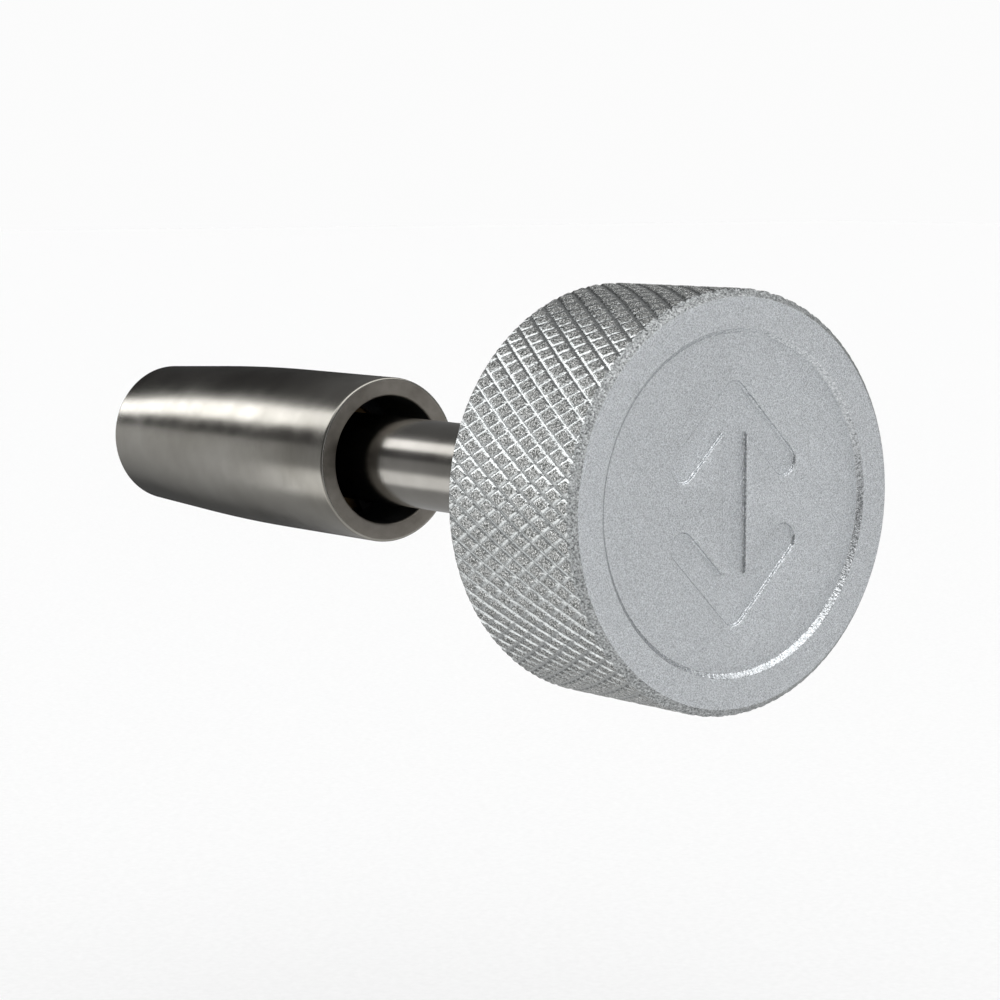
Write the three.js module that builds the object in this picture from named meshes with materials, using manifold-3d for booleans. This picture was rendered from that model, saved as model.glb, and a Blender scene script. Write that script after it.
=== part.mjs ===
// Weld-on pull pin with a large knurled knob.
// A steel barrel is welded to a frame by its front face. A spring inside it holds a round pin
// forward through the frame's wall. Pulling the knob draws the pin back, and letting go returns it.
//
// Millimetres, +Z up. The pin's axis is Y. The origin is the centre of the barrel's front face,
// +Y runs out through the pin's nose, and the knob is at the -Y end.

import * as THREE from "three";
import { mergeVertices } from "three/addons/utils/BufferGeometryUtils.js";
import Module from "manifold-3d";

const wasm = await Module();
wasm.setup();

// ---- Driving dimensions ----

// Barrel. Its bore is as wide as the pin with room for the spring all round it. It narrows
// gently towards its welded front end.
const BARREL_LENGTH = 56;
const SPRING_ROOM = 2.75;
const BARREL_WALL = 2.5;
const FRONT_WALL = 8;
const FRONT_TAPER_LENGTH = 25;
const FRONT_TAPER_DEPTH = 1.25;
const BARREL_EDGE = 0.4;
const BUSH_RECESS = 11;

// Pin
const PIN_DIAMETER = 12;
const NOSE_LENGTH = 8;
const NOSE_TAPER_LENGTH = 3;
const NOSE_TIP_DIAMETER = 9;
const EXPOSED_SHAFT = 46.2;
const STUD_DIAMETER = 8;
const STUD_LENGTH = 12;
const STUD_EDGE = 0.8;
const HOLE_EDGE = 0.5;

// Knob
const KNOB_DIAMETER = 50.8;
const KNOB_THICKNESS = 23.8;
const KNOB_CHAMFER = 1;
const KNOB_SEAT_DEPTH = 2.5;
const RIM_WIDTH = 3.65;
const RECESS_DEPTH = 0.6;
const KNURL_PITCH = 2;
const KNURL_HELIX = THREE.MathUtils.degToRad(30);
const KNURL_DEPTH = 0.2;

// Double arrow engraved in the knob's face
const ARROW_HEIGHT = 29;
const ARROW_STROKE = 3.6;
const ARROW_HEAD = 8;
const ARROW_DEPTH = 0.4;

// Rear bush, retaining rings and spring seat
const BUSH_LENGTH = 8;
const BUSH_EDGE = 0.5;
const RING_THICKNESS = 1;
const RING_WIDTH = 1.9;
const RING_LUG = 0.7;
const RING_GAP = THREE.MathUtils.degToRad(44);
const RING_LUG_ARC = THREE.MathUtils.degToRad(20);
const RING_HOLE_DIAMETER = 1;
const BORE_GROOVE_DEPTH = 0.6;
const PIN_GROOVE_DEPTH = 0.6;
const SEAT_THICKNESS = 1.5;

// Spring
const SPRING_WIRE = 1.6;
const SPRING_TURNS = 7.5;
const COIL_GAP = 0.1;

// Fits
const RUNNING_CLEARANCE = 0.1;
const GROOVE_CLEARANCE = 0.15;
const BORE_CLEARANCE = 0.15;
const SPRING_CLEARANCE = 0.55;
const SEAT_CLEARANCE = 0.35;
const THREAD_CLEARANCE = 0.3;
const FACE_GAP = 0.3;

// Fineness of the round surfaces
const SIDES = 48;
const KNOB_SIDES = 72;
const WIRE_SIDES = 8;
const STEPS_PER_TURN = 16;
const ARC_STEPS = 8;

// ---- Radii that several pieces share ----

const pinRadius = PIN_DIAMETER / 2;
const pinHoleRadius = pinRadius + RUNNING_CLEARANCE;
const boreRadius = pinRadius + SPRING_ROOM;
const barrelRadius = boreRadius + BARREL_WALL;
const barrelFrontRadius = barrelRadius - FRONT_TAPER_DEPTH;
const knobRadius = KNOB_DIAMETER / 2;
const knobEdgeRadius = knobRadius - KNOB_CHAMFER;

// ---- Places along Y, from the front face to the knob ----

const wallBack = -FRONT_WALL;
const pinRingFront = wallBack - FACE_GAP;
const pinRingBack = pinRingFront - RING_THICKNESS;
const seatFront = pinRingBack - FACE_GAP;
const seatBack = seatFront - SEAT_THICKNESS;
const springFront = seatBack - FACE_GAP;

const barrelBack = -BARREL_LENGTH;
const boreRingBack = barrelBack + BUSH_RECESS;
const boreRingFront = boreRingBack + RING_THICKNESS;
const bushBack = boreRingFront + FACE_GAP;
const bushFront = bushBack + BUSH_LENGTH;
const springBack = bushFront + FACE_GAP;

const knobBack = barrelBack - EXPOSED_SHAFT;
const knobFace = knobBack - KNOB_THICKNESS;
const recessFloor = knobFace + RECESS_DEPTH;
const shoulder = knobBack - KNOB_SEAT_DEPTH;
const studEnd = shoulder - STUD_LENGTH;

// ---- Materials ----

function metal(name, color, roughness) {
  return new THREE.MeshStandardMaterial({ name, color, roughness, metalness: 1 });
}

const turnedSteel = () => metal("turned_steel", 0x8d8982, 0.34);
const groundSteel = () => metal("ground_steel", 0x96938d, 0.28);
const blastedAluminium = () => metal("blasted_aluminium", 0xaab0b4, 0.5);
const springSteel = () => metal("spring_steel", 0x5c5d60, 0.4);
const ringSteel = () => metal("ring_steel", 0x2c2c2e, 0.5);
const bronze = () => metal("bronze", 0x9a7440, 0.45);

// ---- Shared shapes ----

// A turned piece about Y. The profile is a list of [radius, y] that runs up its outside.
function turned(profile, sides = SIDES) {
  const points = profile.map(([radius, y]) => new THREE.Vector2(radius, y));
  return new THREE.LatheGeometry(points, sides);
}

// A flat plate with its outline in the XZ plane, from y = back towards +Y.
function plate(shape, back, thickness) {
  const geometry = new THREE.ExtrudeGeometry(shape, {
    depth: thickness,
    bevelEnabled: false,
    curveSegments: ARC_STEPS,
  });
  geometry.rotateX(Math.PI / 2);
  geometry.translate(0, back + thickness, 0);
  return geometry;
}

function toSolid(geometry) {
  geometry.deleteAttribute("normal");
  geometry.deleteAttribute("uv");
  const merged = mergeVertices(geometry, 1e-5);
  return new wasm.Manifold(new wasm.Mesh({
    numProp: 3,
    vertProperties: new Float32Array(merged.attributes.position.array),
    triVerts: new Uint32Array(merged.index.array),
  }));
}

function toGeometry(solid) {
  const mesh = solid.getMesh();
  const geometry = new THREE.BufferGeometry();
  geometry.setAttribute("position", new THREE.BufferAttribute(mesh.vertProperties, 3));
  geometry.setIndex(new THREE.BufferAttribute(mesh.triVerts, 1));
  geometry.computeVertexNormals();
  return geometry;
}

function piece(name, geometry, material) {
  const mesh = new THREE.Mesh(geometry, material);
  mesh.name = name;
  return mesh;
}

// ---- Barrel: a closed front wall that guides the pin, and a bore open at the knob's end ----

function barrel() {
  const grooveRadius = boreRadius + BORE_GROOVE_DEPTH;
  const grooveBack = boreRingBack - GROOVE_CLEARANCE;
  const grooveFront = boreRingFront + GROOVE_CLEARANCE;
  const profile = [
    [boreRadius + BARREL_EDGE, barrelBack],
    [barrelRadius - BARREL_EDGE, barrelBack],
    [barrelRadius, barrelBack + BARREL_EDGE],
    [barrelRadius, -FRONT_TAPER_LENGTH],
    [barrelFrontRadius, -BARREL_EDGE],
    [barrelFrontRadius - BARREL_EDGE, 0],
    [pinHoleRadius + HOLE_EDGE, 0],
    [pinHoleRadius, -HOLE_EDGE],
    [pinHoleRadius, wallBack],
    [boreRadius, wallBack],
    [boreRadius, grooveFront],
    [grooveRadius, grooveFront],
    [grooveRadius, grooveBack],
    [boreRadius, grooveBack],
    [boreRadius, barrelBack + BARREL_EDGE],
    [boreRadius + BARREL_EDGE, barrelBack],
  ];
  return piece("barrel", turned(profile), turnedSteel());
}

// ---- Rear bush: guides the pin behind the spring ----

function rearBush() {
  const outer = boreRadius - BORE_CLEARANCE;
  const profile = [
    [pinHoleRadius + BUSH_EDGE, bushBack],
    [outer - BUSH_EDGE, bushBack],
    [outer, bushBack + BUSH_EDGE],
    [outer, bushFront],
    [pinHoleRadius, bushFront],
    [pinHoleRadius, bushBack + BUSH_EDGE],
    [pinHoleRadius + BUSH_EDGE, bushBack],
  ];
  return piece("rear_bush", turned(profile), bronze());
}

// ---- Retaining rings: open rings with two drilled lugs beside the gap ----

// inner and outer bound the band, and lugRadius is the edge that the lugs reach to instead of
// whichever of the two they widen.
function retainingRing(name, inner, outer, lugRadius, back) {
  const lugsOutside = lugRadius > outer;
  const lugInner = lugsOutside ? inner : lugRadius;
  const lugOuter = lugsOutside ? lugRadius : outer;
  const start = -Math.PI / 2 + RING_GAP / 2;
  const end = -Math.PI / 2 - RING_GAP / 2 + 2 * Math.PI;
  const shape = new THREE.Shape();
  shape.absarc(0, 0, lugOuter, start, start + RING_LUG_ARC, false);
  shape.absarc(0, 0, outer, start + RING_LUG_ARC, end - RING_LUG_ARC, false);
  shape.absarc(0, 0, lugOuter, end - RING_LUG_ARC, end, false);
  shape.absarc(0, 0, lugInner, end, end - RING_LUG_ARC, true);
  shape.absarc(0, 0, inner, end - RING_LUG_ARC, start + RING_LUG_ARC, true);
  shape.absarc(0, 0, lugInner, start + RING_LUG_ARC, start, true);
  const holeAt = (lugInner + lugOuter) / 2;
  for (const angle of [start + RING_LUG_ARC / 2, end - RING_LUG_ARC / 2]) {
    const hole = new THREE.Path();
    const x = holeAt * Math.cos(angle);
    const y = holeAt * Math.sin(angle);
    hole.absarc(x, y, RING_HOLE_DIAMETER / 2, 0, 2 * Math.PI, true);
    shape.holes.push(hole);
  }
  return piece(name, plate(shape, back, RING_THICKNESS), ringSteel());
}

function boreRing() {
  const outer = boreRadius + BORE_GROOVE_DEPTH - GROOVE_CLEARANCE;
  const inner = outer - RING_WIDTH;
  return retainingRing("bore_ring", inner, outer, inner - RING_LUG, boreRingBack);
}

function pinRing() {
  const inner = pinRadius - PIN_GROOVE_DEPTH + GROOVE_CLEARANCE;
  const outer = inner + RING_WIDTH;
  return retainingRing("pin_ring", inner, outer, outer + RING_LUG, pinRingBack);
}

// ---- Spring seat: the washer between the pin's ring and the spring ----

function springSeat() {
  const outer = boreRadius - SEAT_CLEARANCE;
  const inner = pinHoleRadius;
  const profile = [
    [inner, seatBack],
    [outer, seatBack],
    [outer, seatFront],
    [inner, seatFront],
    [inner, seatBack],
  ];
  return piece("spring_seat", turned(profile), turnedSteel());
}

// ---- Compression spring with one closed turn at each end ----

class SpringCurve extends THREE.Curve {
  constructor(radius, start, length, turns, endPitch) {
    super();
    this.radius = radius;
    this.start = start;
    this.turns = turns;
    this.endPitch = endPitch;
    this.openPitch = (length - 2 * endPitch) / (turns - 2);
  }

  rise(turn) {
    const open = Math.min(Math.max(turn - 1, 0), this.turns - 2);
    return (turn - open) * this.endPitch + open * this.openPitch;
  }

  getPoint(t, target = new THREE.Vector3()) {
    const turn = t * this.turns;
    const angle = turn * 2 * Math.PI;
    const y = this.start + this.rise(turn);
    return target.set(this.radius * Math.cos(angle), y, this.radius * Math.sin(angle));
  }
}

function spring() {
  const radius = boreRadius - SPRING_CLEARANCE - SPRING_WIRE / 2;
  const start = springBack + SPRING_WIRE / 2;
  const length = springFront - springBack - SPRING_WIRE;
  const endPitch = SPRING_WIRE + COIL_GAP;
  const path = new SpringCurve(radius, start, length, SPRING_TURNS, endPitch);
  path.arcLengthDivisions = SPRING_TURNS * STEPS_PER_TURN * 4;
  const section = new THREE.Shape();
  section.absarc(0, 0, SPRING_WIRE / 2, 0, 2 * Math.PI, false);
  const geometry = new THREE.ExtrudeGeometry(section, {
    steps: SPRING_TURNS * STEPS_PER_TURN,
    curveSegments: WIRE_SIDES / 2,
    extrudePath: path,
  });
  return piece("spring", geometry, springSteel());
}

// ---- Pin: nose, ring groove, plain shaft and the threaded stud inside the knob ----

function pin() {
  const grooveFront = pinRingFront + GROOVE_CLEARANCE;
  const grooveBack = pinRingBack - GROOVE_CLEARANCE;
  const grooveRadius = pinRadius - PIN_GROOVE_DEPTH;
  const studRadius = STUD_DIAMETER / 2;
  const profile = [
    [0, studEnd],
    [studRadius - STUD_EDGE, studEnd],
    [studRadius, studEnd + STUD_EDGE],
    [studRadius, shoulder],
    [pinRadius, shoulder],
    [pinRadius, grooveBack],
    [grooveRadius, grooveBack],
    [grooveRadius, grooveFront],
    [pinRadius, grooveFront],
    [pinRadius, NOSE_LENGTH - NOSE_TAPER_LENGTH],
    [NOSE_TIP_DIAMETER / 2, NOSE_LENGTH],
    [0, NOSE_LENGTH],
  ];
  return piece("pin", turned(profile), groundSteel());
}

// ---- Knob ----

// A drum whose side carries crossed knurling: rows of points where each second one is a crest
// and the others are groove crossings, joined so that the grooves run as two opposite helices.
function knurledDrum() {
  const count = Math.round(Math.PI * KNOB_DIAMETER * Math.cos(KNURL_HELIX) / KNURL_PITCH);
  const columns = 2 * count;
  const halfRow = Math.PI * knobRadius / count / Math.tan(KNURL_HELIX);
  const rows = Math.ceil(KNOB_THICKNESS / halfRow) + 1;
  const bottom = (knobFace + knobBack - rows * halfRow) / 2;

  const positions = [];
  for (let row = 0; row <= rows; row += 1) {
    for (let column = 0; column < columns; column += 1) {
      const angle = 2 * Math.PI * column / columns;
      const radius = (row + column) % 2 === 0 ? knobRadius : knobRadius - KNURL_DEPTH;
      const y = bottom + row * halfRow;
      positions.push(radius * Math.cos(angle), y, radius * Math.sin(angle));
    }
  }
  const lowHub = positions.length / 3;
  const highHub = lowHub + 1;
  positions.push(0, bottom, 0, 0, bottom + rows * halfRow, 0);

  const at = (row, column) => row * columns + column % columns;
  const index = [];
  for (let row = 0; row < rows; row += 1) {
    for (let column = 0; column < columns; column += 1) {
      const a = at(row, column);
      const b = at(row, column + 1);
      const c = at(row + 1, column + 1);
      const d = at(row + 1, column);
      if ((row + column) % 2 === 0) {
        index.push(a, d, b, b, d, c);
      } else {
        index.push(a, d, c, a, c, b);
      }
    }
  }
  for (let column = 0; column < columns; column += 1) {
    index.push(lowHub, at(0, column), at(0, column + 1));
    index.push(highHub, at(rows, column + 1), at(rows, column));
  }
  const geometry = new THREE.BufferGeometry();
  geometry.setAttribute("position", new THREE.Float32BufferAttribute(positions, 3));
  geometry.setIndex(index);
  return geometry;
}

// The knob's chamfered outline, dished face and stepped hole. Its side stands outside the crests
// so that only the knurling bounds it there.
function knobOutline() {
  const side = knobRadius + KNURL_DEPTH;
  const reach = side - knobEdgeRadius;
  const recessRadius = knobEdgeRadius - RIM_WIDTH;
  const seatRadius = pinRadius + THREAD_CLEARANCE;
  const tapRadius = STUD_DIAMETER / 2 + THREAD_CLEARANCE;
  const seatFloor = shoulder - FACE_GAP;
  const tapEnd = studEnd - 2 * FACE_GAP;
  return turned([
    [0, recessFloor],
    [recessRadius - RECESS_DEPTH, recessFloor],
    [recessRadius, knobFace],
    [knobEdgeRadius, knobFace],
    [side, knobFace + reach],
    [side, knobBack - reach],
    [knobEdgeRadius, knobBack],
    [seatRadius, knobBack],
    [seatRadius, seatFloor],
    [tapRadius, seatFloor],
    [tapRadius, tapEnd],
    [0, tapEnd],
  ], KNOB_SIDES);
}

// One round-ended stroke of the arrow, from one point of the XZ plane to another.
function stroke(fromX, fromZ, toX, toZ) {
  const radius = ARROW_STROKE / 2;
  const heading = Math.atan2(toZ - fromZ, toX - fromX);
  const shape = new THREE.Shape();
  shape.absarc(toX, toZ, radius, heading - Math.PI / 2, heading + Math.PI / 2, false);
  shape.absarc(fromX, fromZ, radius, heading + Math.PI / 2, heading + Math.PI * 1.5, false);
  const back = recessFloor - RECESS_DEPTH;
  return toSolid(plate(shape, back, RECESS_DEPTH + ARROW_DEPTH));
}

function doubleArrow() {
  const tip = (ARROW_HEIGHT - ARROW_STROKE) / 2;
  let mark = stroke(0, -tip, 0, tip);
  for (const end of [-1, 1]) {
    for (const side of [-1, 1]) {
      mark = mark.add(stroke(0, end * tip, side * ARROW_HEAD, end * (tip - ARROW_HEAD)));
    }
  }
  return mark;
}

function knob() {
  const solid = toSolid(knurledDrum())
    .intersect(toSolid(knobOutline()))
    .subtract(doubleArrow());
  return piece("knob", toGeometry(solid), blastedAluminium());
}

// ---- Assembly ----

const pullPin = new THREE.Group();
pullPin.name = "pull_pin";
pullPin.add(barrel(), rearBush(), boreRing(), spring(), springSeat(), pinRing(), pin(), knob());

export default pullPin;
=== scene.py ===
"""A weld-on pull pin with a knurled knob, on a pale studio floor.

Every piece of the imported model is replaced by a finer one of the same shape, built about the
pin's axis, which is Y. Lengths are in metres, and MM turns millimetres into them.
"""

import math

import bpy
import numpy as np
from mathutils import Matrix, Vector


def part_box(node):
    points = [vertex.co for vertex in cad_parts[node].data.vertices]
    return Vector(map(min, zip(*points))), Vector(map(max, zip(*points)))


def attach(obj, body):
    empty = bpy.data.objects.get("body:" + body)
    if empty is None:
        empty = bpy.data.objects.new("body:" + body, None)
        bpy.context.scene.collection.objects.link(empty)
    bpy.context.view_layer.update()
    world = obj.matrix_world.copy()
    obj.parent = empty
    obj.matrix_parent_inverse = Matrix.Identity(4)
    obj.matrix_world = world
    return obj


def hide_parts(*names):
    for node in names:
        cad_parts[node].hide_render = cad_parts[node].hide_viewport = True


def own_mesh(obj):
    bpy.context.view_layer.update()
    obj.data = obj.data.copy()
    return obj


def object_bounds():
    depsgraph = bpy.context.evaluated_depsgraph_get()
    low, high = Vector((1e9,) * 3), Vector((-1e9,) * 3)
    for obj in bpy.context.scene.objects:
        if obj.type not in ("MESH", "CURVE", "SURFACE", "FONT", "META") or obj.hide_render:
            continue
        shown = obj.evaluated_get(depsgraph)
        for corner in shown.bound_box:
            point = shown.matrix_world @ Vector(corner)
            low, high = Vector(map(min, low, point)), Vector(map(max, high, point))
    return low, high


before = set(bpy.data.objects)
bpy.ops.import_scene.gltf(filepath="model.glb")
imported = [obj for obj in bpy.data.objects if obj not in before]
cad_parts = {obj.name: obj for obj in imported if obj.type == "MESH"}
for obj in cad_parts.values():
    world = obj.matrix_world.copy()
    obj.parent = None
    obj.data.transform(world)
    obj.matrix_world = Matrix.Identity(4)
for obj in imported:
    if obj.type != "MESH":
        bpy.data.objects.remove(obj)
cad_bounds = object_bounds()

MM = 0.001

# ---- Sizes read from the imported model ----


def radius_of(node):
    low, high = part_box(node)
    return (high.x - low.x) / 2


def span_of(node):
    low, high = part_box(node)
    return low.y, high.y


BARREL_RADIUS = radius_of("barrel")
BARREL_BACK, BARREL_FRONT = span_of("barrel")
PIN_RADIUS = radius_of("pin")
STUD_END, NOSE_END = span_of("pin")
BUSH_RADIUS = radius_of("rear_bush")
BUSH_BACK, BUSH_FRONT = span_of("rear_bush")
BORE_RING_BACK, BORE_RING_FRONT = span_of("bore_ring")
PIN_RING_BACK, PIN_RING_FRONT = span_of("pin_ring")
SEAT_RADIUS = radius_of("spring_seat")
SEAT_BACK, SEAT_FRONT = span_of("spring_seat")
SPRING_RADIUS = radius_of("spring")
SPRING_BACK, SPRING_FRONT = span_of("spring")
KNOB_RADIUS = radius_of("knob")
KNOB_FACE, KNOB_BACK = span_of("knob")

# ---- Sizes that the boxes don't give, as in the design ----

RUNNING_CLEARANCE = 0.1 * MM
BORE_CLEARANCE = 0.15 * MM
GROOVE_CLEARANCE = 0.15 * MM
THREAD_CLEARANCE = 0.3 * MM
FACE_GAP = 0.3 * MM

BORE_RADIUS = BUSH_RADIUS + BORE_CLEARANCE
HOLE_RADIUS = PIN_RADIUS + RUNNING_CLEARANCE
FRONT_WALL = 8 * MM
FRONT_TAPER_LENGTH = 25 * MM
FRONT_TAPER_DEPTH = 1.25 * MM
GROOVE_DEPTH = 0.6 * MM
NOSE_TAPER = 3 * MM
NOSE_TIP_RADIUS = 4.5 * MM
STUD_RADIUS = 4 * MM
STUD_LENGTH = 12 * MM
SHOULDER = STUD_END + STUD_LENGTH

RING_WIDTH = 1.9 * MM
RING_LUG = 0.7 * MM
RING_GAP = math.radians(44)
RING_LUG_ARC = math.radians(20)
RING_LUG_BLEND = math.radians(5)
RING_HOLE_RADIUS = 0.5 * MM
WIRE_RADIUS = 0.8 * MM
SPRING_TURNS = 7.5
COIL_GAP = 0.1 * MM

KNOB_CHAMFER = 1 * MM
RIM_WIDTH = 3.65 * MM
RECESS_DEPTH = 0.6 * MM
KNURL_PITCH = 2 * MM
KNURL_HELIX = math.radians(30)
KNURL_DEPTH = 0.2 * MM
ARROW_HEIGHT = 29 * MM
ARROW_STROKE = 3.6 * MM
ARROW_HEAD = 8 * MM
ARROW_DEPTH = 0.4 * MM

# ---- Fineness of the meshes ----

SIDES = 256
KNOB_SIDES = 384
DRILL_SIDES = 32
FILLET_STEPS = 6
RING_STEPS = 180
SPRING_STEPS_PER_TURN = 48
WIRE_SIDES = 20
STROKE_END_STEPS = 40
STROKE_FILLET_STEPS = 4

# ---- Node helpers ----


def new_material(name, **settings):
    """A material whose Principled shader has the given plain values. Returns it with its tree
    and shader."""
    material = bpy.data.materials.new(name)
    material.use_nodes = True
    tree = material.node_tree
    shader = tree.nodes["Principled BSDF"]
    for socket, value in settings.items():
        shader.inputs[socket.replace("_", " ")].default_value = value
    return material, tree, shader


def node(tree, kind, **settings):
    made = tree.nodes.new("ShaderNode" + kind)
    for name, value in settings.items():
        setattr(made, name, value)
    return made


def plug(tree, source, target):
    tree.links.new(source, target)


def noise(tree, vector, scale, detail, roughness=0.55):
    """Noise on a tilted grid, so that no flat face lies in one of the grid's planes, where the
    noise would fade out."""
    tilt = node(tree, "Mapping")
    tilt.inputs["Rotation"].default_value = (0.5, 0.7, 0.3)
    plug(tree, vector, tilt.inputs["Vector"])
    made = node(tree, "TexNoise")
    made.inputs["Scale"].default_value = scale
    made.inputs["Detail"].default_value = detail
    made.inputs["Roughness"].default_value = roughness
    plug(tree, tilt.outputs["Vector"], made.inputs["Vector"])
    return made.outputs["Fac"]


def line_noise(tree, distance, scale):
    made = node(tree, "TexNoise", noise_dimensions="1D")
    made.inputs["Scale"].default_value = scale
    made.inputs["Detail"].default_value = 3
    plug(tree, distance, made.inputs["W"])
    return made.outputs["Fac"]


def split_vector(tree, vector):
    split = node(tree, "SeparateXYZ")
    plug(tree, vector, split.inputs[0])
    return split


def along_axis(tree, vector, scale):
    """Noise that changes only along the pin's axis: the rings that a turning tool leaves."""
    return line_noise(tree, split_vector(tree, vector).outputs["Y"], scale)


def about_axis(tree, vector, scale):
    """Noise that changes only with the distance from the axis: the rings on a faced end."""
    split = split_vector(tree, vector)
    flat = node(tree, "CombineXYZ")
    plug(tree, split.outputs["X"], flat.inputs["X"])
    plug(tree, split.outputs["Z"], flat.inputs["Z"])
    length = node(tree, "VectorMath", operation="LENGTH")
    plug(tree, flat.outputs[0], length.inputs[0])
    return line_noise(tree, length.outputs["Value"], scale)


def ramp(tree, factor, low, high, start, end):
    """A number or a colour that goes from low to high as factor goes from start to end. The
    vector mode's own From Min, From Max, To Min and To Max are the sockets 7 to 10."""
    made = node(tree, "MapRange")
    if isinstance(low, tuple):
        made.data_type = "FLOAT_VECTOR"
        plug(tree, factor, made.inputs["Vector"])
        made.inputs[7].default_value = (start,) * 3
        made.inputs[8].default_value = (end,) * 3
        made.inputs[9].default_value = low
        made.inputs[10].default_value = high
        return made.outputs["Vector"]
    plug(tree, factor, made.inputs["Value"])
    made.inputs["From Min"].default_value = start
    made.inputs["From Max"].default_value = end
    made.inputs["To Min"].default_value = low
    made.inputs["To Max"].default_value = high
    return made.outputs["Result"]


def add_bump(tree, shader, heights):
    """Chains one bump for each (height, strength, distance)."""
    before = None
    for height, strength, distance in heights:
        bump = node(tree, "Bump")
        bump.inputs["Strength"].default_value = strength
        bump.inputs["Distance"].default_value = distance
        plug(tree, height, bump.inputs["Height"])
        if before is not None:
            plug(tree, before, bump.inputs["Normal"])
        before = bump.outputs["Normal"]
    plug(tree, before, shader.inputs["Normal"])


def object_coordinates(tree):
    return node(tree, "TexCoord").outputs["Object"]


# ---- Materials ----

# The stretch of a noise's values that its colours and roughness are spread over
STAIN_RANGE = (0.3, 0.7)
GRAIN_RANGE = (0.35, 0.65)


def turned_steel(name, low, high, smooth, rough, line_height):
    material, tree, shader = new_material(name, Metallic=1.0, Anisotropic=0.5)
    place = object_coordinates(tree)
    stains = noise(tree, place, 90, 5)
    plug(tree, ramp(tree, stains, low, high, *STAIN_RANGE), shader.inputs["Base Color"])
    smudges = noise(tree, place, 160, 3)
    plug(tree, ramp(tree, smudges, smooth, rough, *STAIN_RANGE), shader.inputs["Roughness"])
    lines = along_axis(tree, place, 6000)
    waves = noise(tree, place, 70, 2)
    add_bump(tree, shader, [(waves, 0.25, 0.0004), (lines, 0.5, line_height)])
    tangent = node(tree, "Tangent", direction_type="RADIAL", axis="Y")
    plug(tree, tangent.outputs[0], shader.inputs["Tangent"])
    return material


def faced_steel(name):
    material, tree, shader = new_material(name, Metallic=1.0)
    place = object_coordinates(tree)
    stains = noise(tree, place, 260, 5)
    low, high = (0.17, 0.155, 0.135), (0.32, 0.3, 0.27)
    plug(tree, ramp(tree, stains, low, high, *STAIN_RANGE), shader.inputs["Base Color"])
    plug(tree, ramp(tree, stains, 0.42, 0.6, *STAIN_RANGE), shader.inputs["Roughness"])
    add_bump(tree, shader, [(about_axis(tree, place, 5000), 0.5, 0.00002)])
    return material


def painted_shade_bore(name):
    # Painted shade: the bore's inside is coloured near black to stand for the shade deep inside it.
    # The mottle adds random tone to that black and varies its roughness.
    material, tree, shader = new_material(name, Metallic=0.6)
    place = object_coordinates(tree)
    oil_and_shade = noise(tree, place, 300, 4)
    low, high = (0.012, 0.012, 0.012), (0.03, 0.03, 0.03)
    plug(tree, ramp(tree, oil_and_shade, low, high, *STAIN_RANGE), shader.inputs["Base Color"])
    plug(tree, ramp(tree, oil_and_shade, 0.4, 0.6, *STAIN_RANGE), shader.inputs["Roughness"])
    add_bump(tree, shader, [(along_axis(tree, place, 3500), 0.4, 0.00003)])
    return material


def blasted_aluminium(name):
    material, tree, shader = new_material(name, Metallic=1.0)
    place = object_coordinates(tree)
    grain = noise(tree, place, 7000, 2, 0.6)
    cloud = noise(tree, place, 80, 3)
    low, high = (0.42, 0.44, 0.46), (0.88, 0.91, 0.94)
    plug(tree, ramp(tree, grain, low, high, *GRAIN_RANGE), shader.inputs["Base Color"])
    plug(tree, ramp(tree, cloud, 0.34, 0.4, *STAIN_RANGE), shader.inputs["Roughness"])
    add_bump(tree, shader, [(grain, 1.0, 0.00015)])
    return material


def cut_aluminium(name, low, high, smooth, rough, grain_height):
    material, tree, shader = new_material(name, Metallic=1.0)
    place = object_coordinates(tree)
    grain = noise(tree, place, 4200, 3, 0.6)
    lumps = noise(tree, place, 1900, 2)
    plug(tree, ramp(tree, grain, low, high, *GRAIN_RANGE), shader.inputs["Base Color"])
    plug(tree, ramp(tree, grain, smooth, rough, *GRAIN_RANGE), shader.inputs["Roughness"])
    add_bump(tree, shader, [(lumps, 0.6, 2 * grain_height), (grain, 0.9, grain_height)])
    return material


def plain_metal(name, low, high, smooth, rough):
    material, tree, shader = new_material(name, Metallic=1.0)
    place = object_coordinates(tree)
    mottle = noise(tree, place, 700, 4)
    plug(tree, ramp(tree, mottle, low, high, *STAIN_RANGE), shader.inputs["Base Color"])
    plug(tree, ramp(tree, mottle, smooth, rough, *STAIN_RANGE), shader.inputs["Roughness"])
    add_bump(tree, shader, [(mottle, 0.3, 0.00003)])
    return material


# The values are the darkest and lightest colour, the least and greatest roughness and, for the
# turned and cut skins, the height of their lines or grain in metres.
BARREL_SKIN = turned_steel(
    "barrel_skin", (0.23, 0.22, 0.195), (0.31, 0.3, 0.275), 0.16, 0.25, 0.000012
)
PIN_SKIN = turned_steel("pin_skin", (0.24, 0.23, 0.21), (0.3, 0.29, 0.27), 0.14, 0.2, 0.000008)
END_SKIN = faced_steel("end_skin")
# The bore's near-black skin is painted shade for its deep inside.
BORE_SHADE = painted_shade_bore("bore_shade")
FACE_SKIN = blasted_aluminium("knob_face")
CREST_SKIN = cut_aluminium("knurl_crest", (0.1, 0.11, 0.1), (0.95, 0.96, 0.95), 0.1, 0.2, 0.00045)
GROOVE_SKIN = cut_aluminium("knurl_groove", (0.42, 0.44, 0.44), (0.66, 0.68, 0.68), 0.2, 0.32, 0.00005)
EDGE_SKIN = cut_aluminium("knob_edge", (0.16, 0.17, 0.17), (0.75, 0.77, 0.78), 0.3, 0.45, 0.00025)
STEP_SKIN = cut_aluminium("face_step", (0.36, 0.38, 0.39), (0.72, 0.74, 0.76), 0.16, 0.28, 0.00012)
SPRING_SKIN = plain_metal("spring_wire", (0.16, 0.16, 0.17), (0.3, 0.3, 0.31), 0.3, 0.42)
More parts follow.
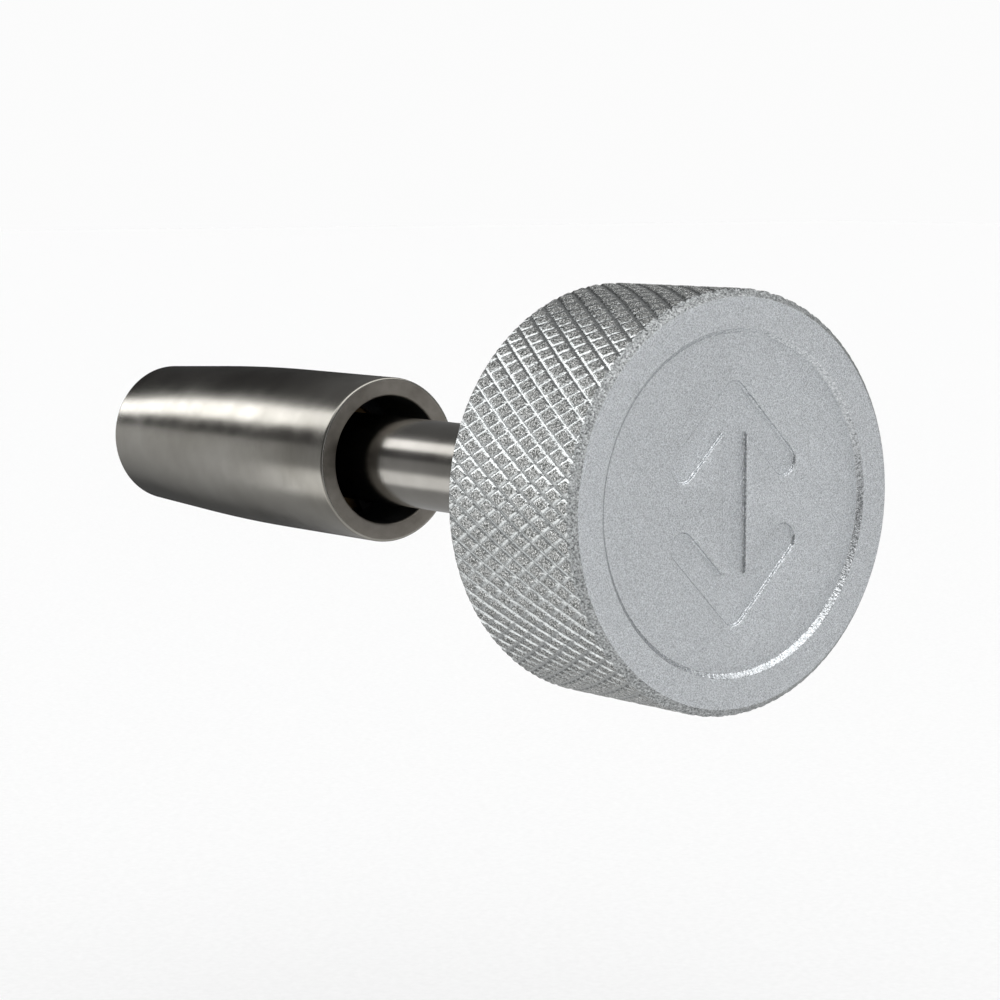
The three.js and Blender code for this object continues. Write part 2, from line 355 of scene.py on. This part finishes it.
RING_SKIN = plain_metal("ring_black", (0.02, 0.02, 0.022), (0.05, 0.05, 0.052), 0.4, 0.55)
# The bush keeps a dull bronze tone. It is darkened further as painted shade for its place deep in the
# bore.
BRONZE_SKIN = plain_metal("bush_bronze", (0.16, 0.1, 0.05), (0.3, 0.2, 0.1), 0.5, 0.65)

# ---- Meshes ----


def signed_volume(mesh):
    mesh.calc_loop_triangles()
    count = len(mesh.loop_triangles)
    corners = np.empty(count * 3, np.int32)
    places = np.empty(len(mesh.vertices) * 3)
    mesh.loop_triangles.foreach_get("vertices", corners)
    mesh.vertices.foreach_get("co", places)
    a, b, c = places.reshape(-1, 3)[corners.reshape(-1, 3)].transpose(1, 0, 2)
    return (a * np.cross(b, c)).sum() / 6


def new_object(name, positions, faces, materials, slots=None):
    mesh = bpy.data.meshes.new(name)
    mesh.from_pydata([tuple(p) for p in positions], [], faces)
    for material in materials:
        mesh.materials.append(material)
    mesh.update()
    if slots is not None:
        mesh.polygons.foreach_set("material_index", slots)
    if signed_volume(mesh) < 0:
        mesh.flip_normals()
    made = bpy.data.objects.new(name, mesh)
    bpy.context.scene.collection.objects.link(made)
    return made


def smooth_by_angle(made, degrees):
    """Shades the piece smooth, with the edges sharper than this angle kept crisp."""
    mesh = made.data
    mesh.shade_smooth()
    mesh.set_sharp_from_angle(angle=math.radians(degrees))


def rounded(corners):
    """Replaces each corner (radius, y, fillet, slot) by an arc of its fillet's radius. Returns
    (radius, y, slot) for each point, the slot being that of the stretch that follows."""
    points = []
    for i, (r, y, fillet, slot) in enumerate(corners):
        if fillet == 0:
            points.append((r, y, slot))
            continue
        here = Vector((r, y))
        back = Vector(corners[i - 1][:2]) - here
        ahead = Vector(corners[(i + 1) % len(corners)][:2]) - here
        half = back.angle(ahead) / 2
        reach = fillet / math.tan(half)
        back.normalize()
        ahead.normalize()
        centre = here + (back + ahead).normalized() * (fillet / math.sin(half))
        first = (here + back * reach - centre).normalized()
        last = (here + ahead * reach - centre).normalized()
        for step in range(FILLET_STEPS + 1):
            arc = centre + first.slerp(last, step / FILLET_STEPS) * fillet
            points.append((arc.x, arc.y, slot))
    return points


def turned(name, corners, materials, sides=SIDES):
    """A closed solid of revolution about Y. The corners run once round the section, up its
    outside and down its inside; a section that reaches the axis starts and ends on it."""
    points = rounded(corners)
    solid_core = points[0][0] == 0
    positions, rings = [], []
    for r, y, _ in points:
        if r == 0:
            rings.append([len(positions)] * sides)
            positions.append((0, y, 0))
            continue
        rings.append(list(range(len(positions), len(positions) + sides)))
        for i in range(sides):
            angle = 2 * math.pi * i / sides
            positions.append((r * math.cos(angle), y, r * math.sin(angle)))
    faces, slots = [], []
    pairs = len(rings) - 1 if solid_core else len(rings)
    for k in range(pairs):
        low, high = rings[k], rings[(k + 1) % len(rings)]
        for i in range(sides):
            j = (i + 1) % sides
            corner_ring = (low[i], high[i], high[j], low[j])
            face = tuple(dict.fromkeys(corner_ring))
            if len(face) > 2:
                faces.append(face)
                slots.append(points[k][2])
    made = new_object(name, positions, faces, materials, slots)
    smooth_by_angle(made, 35)
    return made


def apply_boolean(made, operation, other):
    modifier = made.modifiers.new(operation, "BOOLEAN")
    modifier.operation = operation
    modifier.solver = "MANIFOLD"
    modifier.object = other
    graph = bpy.context.evaluated_depsgraph_get()
    result = bpy.data.meshes.new_from_object(made.evaluated_get(graph))
    made.modifiers.clear()
    old = made.data
    made.data = result
    bpy.data.meshes.remove(old)
    bpy.data.objects.remove(other)


# ---- Barrel ----


def make_barrel():
    mouth_edge = 0.35 * MM
    front_edge = 0.5 * MM
    hole_edge = 0.4 * MM
    hole_end = 0.2 * MM
    bore_end = 0.5 * MM
    taper_blend = 400 * MM
    groove = BORE_RADIUS + GROOVE_DEPTH
    wall_back = BARREL_FRONT - FRONT_WALL
    groove_back = BORE_RING_BACK - GROOVE_CLEARANCE
    groove_front = BORE_RING_FRONT + GROOVE_CLEARANCE
    skin, end, bore = 0, 1, 2
    corners = [
        (BORE_RADIUS, BARREL_BACK, mouth_edge, end),
        (BARREL_RADIUS, BARREL_BACK, mouth_edge, skin),
        (BARREL_RADIUS, BARREL_FRONT - FRONT_TAPER_LENGTH, taper_blend, skin),
        (BARREL_RADIUS - FRONT_TAPER_DEPTH, BARREL_FRONT, front_edge, end),
        (HOLE_RADIUS, BARREL_FRONT, hole_edge, bore),
        (HOLE_RADIUS, wall_back, hole_end, bore),
        (BORE_RADIUS, wall_back, bore_end, bore),
        (BORE_RADIUS, groove_front, 0, bore),
        (groove, groove_front, 0, bore),
        (groove, groove_back, 0, bore),
        (BORE_RADIUS, groove_back, 0, bore),
    ]
    return turned("barrel_tube", corners, [BARREL_SKIN, END_SKIN, BORE_SHADE])


# ---- Pin ----


def make_pin():
    stud_edge = 0.6 * MM
    shoulder_edge = 0.3 * MM
    nose_start = 1.2 * MM
    nose_edge = 0.8 * MM
    groove = PIN_RADIUS - GROOVE_DEPTH
    groove_back = PIN_RING_BACK - GROOVE_CLEARANCE
    groove_front = PIN_RING_FRONT + GROOVE_CLEARANCE
    corners = [
        (0, STUD_END, 0, 0),
        (STUD_RADIUS, STUD_END, stud_edge, 0),
        (STUD_RADIUS, SHOULDER, shoulder_edge, 0),
        (PIN_RADIUS, SHOULDER, shoulder_edge, 0),
        (PIN_RADIUS, groove_back, 0, 0),
        (groove, groove_back, 0, 0),
        (groove, groove_front, 0, 0),
        (PIN_RADIUS, groove_front, 0, 0),
        (PIN_RADIUS, NOSE_END - NOSE_TAPER, nose_start, 0),
        (NOSE_TIP_RADIUS, NOSE_END, nose_edge, 0),
        (0, NOSE_END, 0, 0),
    ]
    return turned("pin_bar", corners, [PIN_SKIN])


# ---- Bush and seat ----


def make_bush():
    edge = 0.4 * MM
    corners = [
        (HOLE_RADIUS, BUSH_BACK, edge, 0),
        (BUSH_RADIUS, BUSH_BACK, edge, 0),
        (BUSH_RADIUS, BUSH_FRONT, edge, 0),
        (HOLE_RADIUS, BUSH_FRONT, edge, 0),
    ]
    return turned("bush_sleeve", corners, [BRONZE_SKIN])


def make_seat():
    edge = 0.25 * MM
    corners = [
        (HOLE_RADIUS, SEAT_BACK, edge, 0),
        (SEAT_RADIUS, SEAT_BACK, edge, 0),
        (SEAT_RADIUS, SEAT_FRONT, edge, 0),
        (HOLE_RADIUS, SEAT_FRONT, edge, 0),
    ]
    return turned("seat_washer", corners, [PIN_SKIN])


# ---- Spring ----


def make_spring():
    """A helix with one closed turn at each end, inside the box of the spring's node."""
    centre = SPRING_RADIUS - WIRE_RADIUS
    length = SPRING_FRONT - SPRING_BACK - 2 * WIRE_RADIUS
    end_pitch = 2 * WIRE_RADIUS + COIL_GAP
    open_pitch = (length - 2 * end_pitch) / (SPRING_TURNS - 2)
    steps, around = int(SPRING_TURNS * SPRING_STEPS_PER_TURN), WIRE_SIDES
    positions = []
    for step in range(steps + 1):
        turn = SPRING_TURNS * step / steps
        opened = min(max(turn - 1, 0), SPRING_TURNS - 2)
        pitch = open_pitch if 1 < turn < SPRING_TURNS - 1 else end_pitch
        y = SPRING_BACK + WIRE_RADIUS + (turn - opened) * end_pitch + opened * open_pitch
        angle = 2 * math.pi * turn
        out = Vector((math.cos(angle), 0, math.sin(angle)))
        slope = math.atan2(pitch, 2 * math.pi * centre)
        round_way = Vector((-math.sin(angle), 0, math.cos(angle)))
        side = Vector((0, math.cos(slope), 0)) - round_way * math.sin(slope)
        middle = out * centre + Vector((0, y, 0))
        for i in range(around):
            bend = 2 * math.pi * i / around
            spot = out * math.cos(bend) + side * math.sin(bend)
            positions.append(middle + spot * WIRE_RADIUS)
    faces = []
    for step in range(steps):
        for i in range(around):
            j = (i + 1) % around
            low, high = step * around, (step + 1) * around
            faces.append((low + i, high + i, high + j, low + j))
    faces.append(tuple(range(around)))
    faces.append(tuple(reversed(range(steps * around, (steps + 1) * around))))
    made = new_object("spring_coil", positions, faces, [SPRING_SKIN])
    smooth_by_angle(made, 50)
    return made


# ---- Knob ----

CELLS = 14  # grid steps across one knurling diamond, both round the knob and along it
CREST_DROP = 0.03 * MM  # keeps the rough crests inside the knob's full radius
CREST_ROUGHNESS = 0.012 * MM
SEED = 7
# Share of the depth at each step from the middle of a groove to its edge. One family of grooves
# is deeper than the other.
RISING_GROOVE = (1.0, 0.75, 0.3, 0.0)
FALLING_GROOVE = (0.68, 0.45, 0.15, 0.0)


def groove_depth(phase, shape):
    """How deep one family of grooves cuts, as a share of the full depth, at a phase counted in
    grid steps. A groove's middle is at phase 0 of every CELLS steps."""
    wrapped = phase % CELLS
    distance = np.minimum(wrapped, CELLS - wrapped)
    return np.array(shape)[np.minimum(distance, len(shape) - 1)]


def make_drum():
    """A drum cut by two opposite families of helical grooves. The grid's diagonals lie along the
    grooves, so that their edges are straight lines of mesh edges."""
    count = round(2 * math.pi * KNOB_RADIUS * math.cos(KNURL_HELIX) / KNURL_PITCH)
    columns = count * CELLS
    step_y = 2 * math.pi * KNOB_RADIUS / columns / math.tan(KNURL_HELIX)
    rows = math.ceil((KNOB_BACK - KNOB_FACE) / step_y) + 2
    low = (KNOB_FACE + KNOB_BACK - rows * step_y) / 2

    column, row = np.meshgrid(np.arange(columns), np.arange(rows + 1))
    rising = groove_depth(column + row, RISING_GROOVE)
    falling = groove_depth(column - row, FALLING_GROOVE)
    depth = np.maximum(rising, falling)
    random = np.random.default_rng(SEED)
    grain = random.normal(0, CREST_ROUGHNESS, depth.shape) * (depth == 0)
    grain = np.clip(grain, -CREST_DROP, CREST_DROP)
    radius = KNOB_RADIUS - CREST_DROP - KNURL_DEPTH * depth + grain
    angle = 2 * math.pi * column / columns
    y = low + row * step_y
    places = np.stack([radius * np.cos(angle), y, radius * np.sin(angle)], -1).reshape(-1, 3)
    hubs = [(0, low, 0), (0, low + rows * step_y, 0)]
    positions = np.vstack([places, hubs])

    a = (row[:-1] * columns + column[:-1]).ravel()
    b = (row[:-1] * columns + (column[:-1] + 1) % columns).ravel()
    c, d = b + columns, a + columns
    beside = groove_depth(column + row + 1, RISING_GROOVE)
    along_rising = (beside >= falling)[:-1].ravel()
    first = np.where(along_rising[:, None], np.stack([a, d, b], 1), np.stack([a, d, c], 1))
    second = np.where(along_rising[:, None], np.stack([b, d, c], 1), np.stack([a, c, b], 1))
    ring = np.arange(columns)
    after = (ring + 1) % columns
    top = rows * columns
    hub = len(places)
    low_cap = np.stack([np.full(columns, hub), ring, after], 1)
    high_cap = np.stack([np.full(columns, hub + 1), top + after, top + ring], 1)
    faces = np.vstack([first, second, low_cap, high_cap])
    return new_object("knob_body", positions, faces.tolist(), [CREST_SKIN])


def make_outline():
    """The knob's chamfered and dished outline with its stepped hole, standing outside the
    knurling at its side."""
    edge = KNOB_RADIUS - KNOB_CHAMFER
    side = KNOB_RADIUS + KNURL_DEPTH
    reach = side - edge
    recess = edge - RIM_WIDTH
    floor = KNOB_FACE + RECESS_DEPTH
    seat = PIN_RADIUS + THREAD_CLEARANCE
    tap = STUD_RADIUS + THREAD_CLEARANCE
    seat_floor = SHOULDER - FACE_GAP
    tap_end = STUD_END - 2 * FACE_GAP
    step_edge = 0.25 * MM
    rim_edge = 0.2 * MM
    seat_edge = 0.4 * MM
    corners = [
        (0, floor, 0, 0),
        (recess - RECESS_DEPTH, floor, step_edge, 0),
        (recess, KNOB_FACE, step_edge, 0),
        (edge, KNOB_FACE, rim_edge, 0),
        (side, KNOB_FACE + reach, 0, 0),
        (side, KNOB_BACK - reach, 0, 0),
        (edge, KNOB_BACK, rim_edge, 0),
        (seat, KNOB_BACK, seat_edge, 0),
        (seat, seat_floor, 0, 0),
        (tap, seat_floor, 0, 0),
        (tap, tap_end, 0, 0),
        (0, tap_end, 0, 0),
    ]
    return turned("knob_outline", corners, [FACE_SKIN], KNOB_SIDES)


def make_stroke(start, end, lift):
    """One round-ended stroke of the arrow as a solid that stands through the face's floor, with
    a rounded foot and a flared mouth. start and end are (x, z), and lift keeps the tops of the
    strokes at different heights."""
    floor = KNOB_FACE + RECESS_DEPTH
    bottom = floor + ARROW_DEPTH
    half = ARROW_STROKE / 2
    foot, flare = 0.2 * MM, 0.22 * MM
    turns = [math.pi / 2 * i / STROKE_FILLET_STEPS for i in range(STROKE_FILLET_STEPS + 1)]
    section = []
    for turn in turns:
        section.append((half - foot * (1 - math.sin(turn)), bottom - foot * (1 - math.cos(turn))))
    for turn in turns:
        section.append((half + flare * (1 - math.cos(turn)), floor + flare - flare * math.sin(turn)))
    section.append((half + flare, floor - lift))
    heading = math.atan2(end[1] - start[1], end[0] - start[0])
    positions = []
    for reach, y in section:
        for (x, z), base in ((end, heading - math.pi / 2), (start, heading + math.pi / 2)):
            for i in range(STROKE_END_STEPS + 1):
                angle = base + math.pi * i / STROKE_END_STEPS
                positions.append((x + reach * math.cos(angle), y, z + reach * math.sin(angle)))
    around = 2 * (STROKE_END_STEPS + 1)
    faces = [tuple(range(around))]
    for k in range(len(section) - 1):
        for i in range(around):
            j = (i + 1) % around
            low, high = k * around, (k + 1) * around
            faces.append((low + i, high + i, high + j, low + j))
    faces.append(tuple(reversed(range((len(section) - 1) * around, len(section) * around))))
    return new_object("stroke", positions, faces, [FACE_SKIN])


def make_knob():
    knob = make_drum()
    apply_boolean(knob, "INTERSECT", make_outline())
    tip = (ARROW_HEIGHT - ARROW_STROKE) / 2
    strokes = [((0, -tip), (0, tip))]
    for end in (-1, 1):
        for side in (-1, 1):
            strokes.append(((0, end * tip), (side * ARROW_HEAD, end * (tip - ARROW_HEAD))))
    for i, (start, end) in enumerate(strokes):
        lift = (1 + 0.1 * i) * MM
        apply_boolean(knob, "DIFFERENCE", make_stroke(start, end, lift))
    paint_knob(knob)
    return knob


def paint_knob(knob):
    """Gives each face its finish by where it lies: blasted face and back, turned edges,
    knurling's crests and grooves, and the steps of the dish and the arrow. The margins only have
    to fall between one surface and the next."""
    mesh = knob.data
    mesh.materials.clear()
    for material in (FACE_SKIN, EDGE_SKIN, CREST_SKIN, GROOVE_SKIN, STEP_SKIN):
        mesh.materials.append(material)
    on_face, on_edge, on_crest, in_groove, on_step = range(5)
    count = len(mesh.polygons)
    centre = np.empty(count * 3)
    normal = np.empty(count * 3)
    mesh.polygons.foreach_get("center", centre)
    mesh.polygons.foreach_get("normal", normal)
    centre, normal = centre.reshape(-1, 3), normal.reshape(-1, 3)
    r = np.hypot(centre[:, 0], centre[:, 2])
    edge = KNOB_RADIUS - KNOB_CHAMFER
    crest = KNOB_RADIUS - CREST_DROP - 0.04 * MM
    from_face = centre[:, 1] - KNOB_FACE
    from_back = KNOB_BACK - centre[:, 1]
    from_chamfer = np.abs(np.minimum(from_face, from_back) - (r - edge))
    facing = np.abs(normal[:, 1])
    slot = np.full(count, on_face, np.int32)
    side = r > edge - 0.7 * MM
    slot[side & (r < crest)] = in_groove
    slot[side & (r >= crest)] = on_crest
    slot[(r > edge - 0.3 * MM) & (from_chamfer < 0.03 * MM) & (facing > 0.4)] = on_edge
    slot[(r <= edge) & (from_face < 0.3 * MM)] = on_face
    slot[(r < edge) & (from_back < 3 * MM)] = on_face
    engraved = from_face < RECESS_DEPTH + ARROW_DEPTH + 0.1 * MM
    slot[(r < edge - RIM_WIDTH / 2) & engraved & (facing < 0.95)] = on_step
    mesh.polygons.foreach_set("material_index", slot)
    smooth_by_angle(knob, 40)


# ---- Retaining rings ----


def make_ring(name, inner, outer, lug, back, front):
    """An open ring with two drilled lugs. lug is the radius that the lugs reach."""
    start, end = -math.pi / 2 + RING_GAP / 2, 1.5 * math.pi - RING_GAP / 2
    positions = []
    for i in range(RING_STEPS + 1):
        angle = start + (end - start) * i / RING_STEPS
        near_end = min(angle - start, end - angle)
        blend = min(max((RING_LUG_ARC - near_end) / RING_LUG_BLEND, 0), 1)
        a = inner + (min(lug, inner) - inner) * blend
        b = outer + (max(lug, outer) - outer) * blend
        for r, y in ((a, back), (b, back), (b, front), (a, front)):
            positions.append((r * math.cos(angle), y, r * math.sin(angle)))
    faces = [(0, 1, 2, 3)]
    for i in range(RING_STEPS):
        low, high = 4 * i, 4 * i + 4
        for k in range(4):
            j = (k + 1) % 4
            faces.append((low + k, high + k, high + j, low + j))
    faces.append(tuple(reversed(range(4 * RING_STEPS, 4 * RING_STEPS + 4))))
    made = new_object(name, positions, faces, [RING_SKIN])
    hole_at = (min(lug, inner) + max(lug, outer)) / 2
    overrun = 0.5 * MM
    for angle in (start + RING_LUG_ARC / 2, end - RING_LUG_ARC / 2):
        drill = turned("drill", [
            (0, back - overrun, 0, 0),
            (RING_HOLE_RADIUS, back - overrun, 0, 0),
            (RING_HOLE_RADIUS, front + overrun, 0, 0),
            (0, front + overrun, 0, 0),
        ], [RING_SKIN], DRILL_SIDES)
        hole = Vector((hole_at * math.cos(angle), 0, hole_at * math.sin(angle)))
        drill.data.transform(Matrix.Translation(hole))
        apply_boolean(made, "DIFFERENCE", drill)
    bevel = made.modifiers.new("soft_edges", "BEVEL")
    bevel.width = 0.08 * MM
    bevel.segments = 2
    bevel.limit_method = "ANGLE"
    smooth_by_angle(made, 35)
    return made


def make_bore_ring():
    outer = BORE_RADIUS + GROOVE_DEPTH - GROOVE_CLEARANCE
    inner = outer - RING_WIDTH
    lug = inner - RING_LUG
    return make_ring("bore_circlip", inner, outer, lug, BORE_RING_BACK, BORE_RING_FRONT)


def make_pin_ring():
    inner = PIN_RADIUS - GROOVE_DEPTH + GROOVE_CLEARANCE
    outer = inner + RING_WIDTH
    lug = outer + RING_LUG
    return make_ring("pin_circlip", inner, outer, lug, PIN_RING_BACK, PIN_RING_FRONT)


# ---- Pieces in place ----

for piece, cad_node, body, slot in [
    (make_barrel(), "barrel", "barrel", "barrel_steel"),
    (make_bush(), "rear_bush", "barrel", "bush_bronze"),
    (make_spring(), "spring", "barrel", "spring_steel"),
    (make_seat(), "spring_seat", "spring_seat", "seat_steel"),
    (make_pin(), "pin", "plunger", "pin_steel"),
    (make_knob(), "knob", "plunger", "knob_aluminium"),
    (make_bore_ring(), "bore_ring", "barrel", "ring_steel"),
    (make_pin_ring(), "pin_ring", "plunger", "ring_steel"),
]:
    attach(piece, body)
    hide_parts(cad_node)
    if cad_node == "spring":
        spring_coil = piece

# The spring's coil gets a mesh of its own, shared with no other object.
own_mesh(spring_coil)

# ---- Floor ----

FLOOR_DROP = 60 * MM
FLOOR_HALF_WIDTH = 6


def make_floor():
    low, _ = cad_bounds
    z = low[2] - FLOOR_DROP
    half = FLOOR_HALF_WIDTH
    corners = [(-half, -half, z), (half, -half, z), (half, half, z), (-half, half, z)]
    material, tree, shader = new_material("floor_paper", Roughness=0.9)
    grain = noise(tree, object_coordinates(tree), 900, 3)
    low_tone, high_tone = (0.88, 0.88, 0.88), (0.92, 0.92, 0.92)
    plug(tree, ramp(tree, grain, low_tone, high_tone, *STAIN_RANGE), shader.inputs["Base Color"])
    return new_object("floor", corners, [(0, 1, 2, 3)], [material])


floor_sheet = make_floor()
floor_sheet.visible_glossy = False

# ---- Light ----


def grey_ramp(tree, factor, stops):
    """A grey that follows factor through a list of (position, brightness)."""
    made = node(tree, "ValToRGB")
    elements = made.color_ramp.elements
    while len(elements) < len(stops):
        elements.new(0.5)
    for element, (position, level) in zip(elements, stops):
        element.position = position
        element.color = (level, level, level, 1)
    plug(tree, factor, made.inputs["Fac"])
    return made.outputs["Color"]


def mix_colours(tree, factor, first, second):
    """The Mix node's two colours are its sockets 6 and 7, and the mixed colour is its output 2."""
    made = node(tree, "Mix", data_type="RGBA")
    plug(tree, factor, made.inputs[0])
    plug(tree, first, made.inputs[6])
    plug(tree, second, made.inputs[7])
    return made.outputs[2]


def grey(tree, level):
    made = node(tree, "RGB")
    made.outputs[0].default_value = (level, level, level, 1)
    return made.outputs[0]


def turn_about_pin(tree, direction):
    """How far round the pin's axis a direction lies, from 0 to 1: a quarter is straight down, a
    half is level on the side of the camera, and three quarters is straight up."""
    split = split_vector(tree, direction)
    flip = node(tree, "Math", operation="MULTIPLY")
    flip.inputs[1].default_value = -1
    plug(tree, split.outputs["X"], flip.inputs[0])
    angle = node(tree, "Math", operation="ARCTAN2")
    plug(tree, split.outputs["Z"], angle.inputs[0])
    plug(tree, flip.outputs[0], angle.inputs[1])
    return ramp(tree, angle.outputs[0], 0.0, 1.0, -math.pi, math.pi)


def make_world():
    """An even pale room for the floor and the background. Polished metal sees a studio instead.
    Towards the nose, a long strip light runs along the pin, over a grey floor and under a dark
    ceiling, and a pale card lies on the nearer part of that floor. On the face's side, the walls
    darken upwards to a bright band high up, and a dark screen stands on the left."""
    world = bpy.data.worlds.new("studio")
    world.use_nodes = True
    bpy.context.scene.world = world
    tree = world.node_tree
    background = tree.nodes["Background"]
    direction = node(tree, "TexCoord").outputs["Generated"]
    split = split_vector(tree, direction)
    around = turn_about_pin(tree, direction)
    far = grey_ramp(tree, around, [
        (0.0, 0.05), (0.19, 0.12), (0.25, 0.3), (0.36, 0.62), (0.5, 0.82), (0.535, 0.75),
        (0.548, 0.08), (0.6, 0.08), (0.618, 4.4), (0.678, 4.4), (0.7, 0.6), (0.74, 0.05),
        (1.0, 0.03),
    ])
    card = grey_ramp(tree, around, [
        (0.0, 0.2), (0.11, 0.5), (0.25, 0.55), (0.34, 0.5), (0.37, 1.8), (0.435, 1.8),
        (0.465, 0.45), (0.535, 0.4), (0.548, 0.12), (0.6, 0.12), (0.618, 2.8), (0.668, 2.8),
        (0.685, 0.25), (0.74, 0.2), (1.0, 0.2),
    ])
    past_card = ramp(tree, split.outputs["Y"], 0.0, 1.0, 0.79, 0.8)
    nose_side = mix_colours(tree, past_card, card, far)
    height = ramp(tree, split.outputs["Z"], 0.0, 1.0, -1.0, 1.0)
    walls = grey_ramp(tree, height, [
        (0.0, 1.1), (0.3, 0.9), (0.44, 0.75), (0.55, 0.62), (0.7, 0.3), (0.78, 0.3), (0.82, 2.6),
        (0.97, 2.6), (1.0, 1.0),
    ])
    left = ramp(tree, split.outputs["X"], 1.0, 0.0, -0.6, -0.35)
    raised = ramp(tree, split.outputs["Z"], 0.0, 1.0, -0.45, -0.2)
    screen = node(tree, "Math", operation="MULTIPLY")
    plug(tree, left, screen.inputs[0])
    plug(tree, raised, screen.inputs[1])
    face_side = mix_colours(tree, screen.outputs[0], walls, grey(tree, 0.1))
    forward = ramp(tree, split.outputs["Y"], 0.0, 1.0, -0.25, 0.25)
    studio = mix_colours(tree, forward, face_side, nose_side)
    rays = node(tree, "LightPath")
    room = mix_colours(tree, rays.outputs["Is Camera Ray"], grey(tree, 1.09), grey(tree, 0.97))
    seen = mix_colours(tree, rays.outputs["Is Glossy Ray"], room, studio)
    plug(tree, seen, background.inputs["Color"])
    background.inputs["Strength"].default_value = 1.0


make_world()

# ---- Camera ----

# The way the camera's back faces: its azimuth is counted from -Y towards +X.
CAMERA_AZIMUTH = math.radians(-38.02)
CAMERA_ELEVATION = math.radians(6.22)
CAMERA_FROM_FACE = Vector((-9.218, -10, 1.497))  # in knob radii, from the middle of its face
CAMERA_LENS = 106  # in millimetres, as is the sensor
CAMERA_SENSOR = 36


def make_camera():
    camera = bpy.data.cameras.new("camera")
    camera.lens = CAMERA_LENS
    camera.sensor_width = CAMERA_SENSOR
    camera.clip_start = 0.01
    camera.clip_end = 50
    made = bpy.data.objects.new("camera", camera)
    made.location = Vector((0, KNOB_FACE, 0)) + CAMERA_FROM_FACE * KNOB_RADIUS
    level = math.cos(CAMERA_ELEVATION)
    back = Vector((
        math.sin(CAMERA_AZIMUTH) * level,
        -math.cos(CAMERA_AZIMUTH) * level,
        math.sin(CAMERA_ELEVATION),
    ))
    made.rotation_euler = back.to_track_quat("Z", "Y").to_euler()
    bpy.context.scene.collection.objects.link(made)
    bpy.context.scene.camera = made


make_camera()
bpy.context.scene.view_settings.view_transform = "Standard"
bpy.context.scene.view_settings.look = "None"
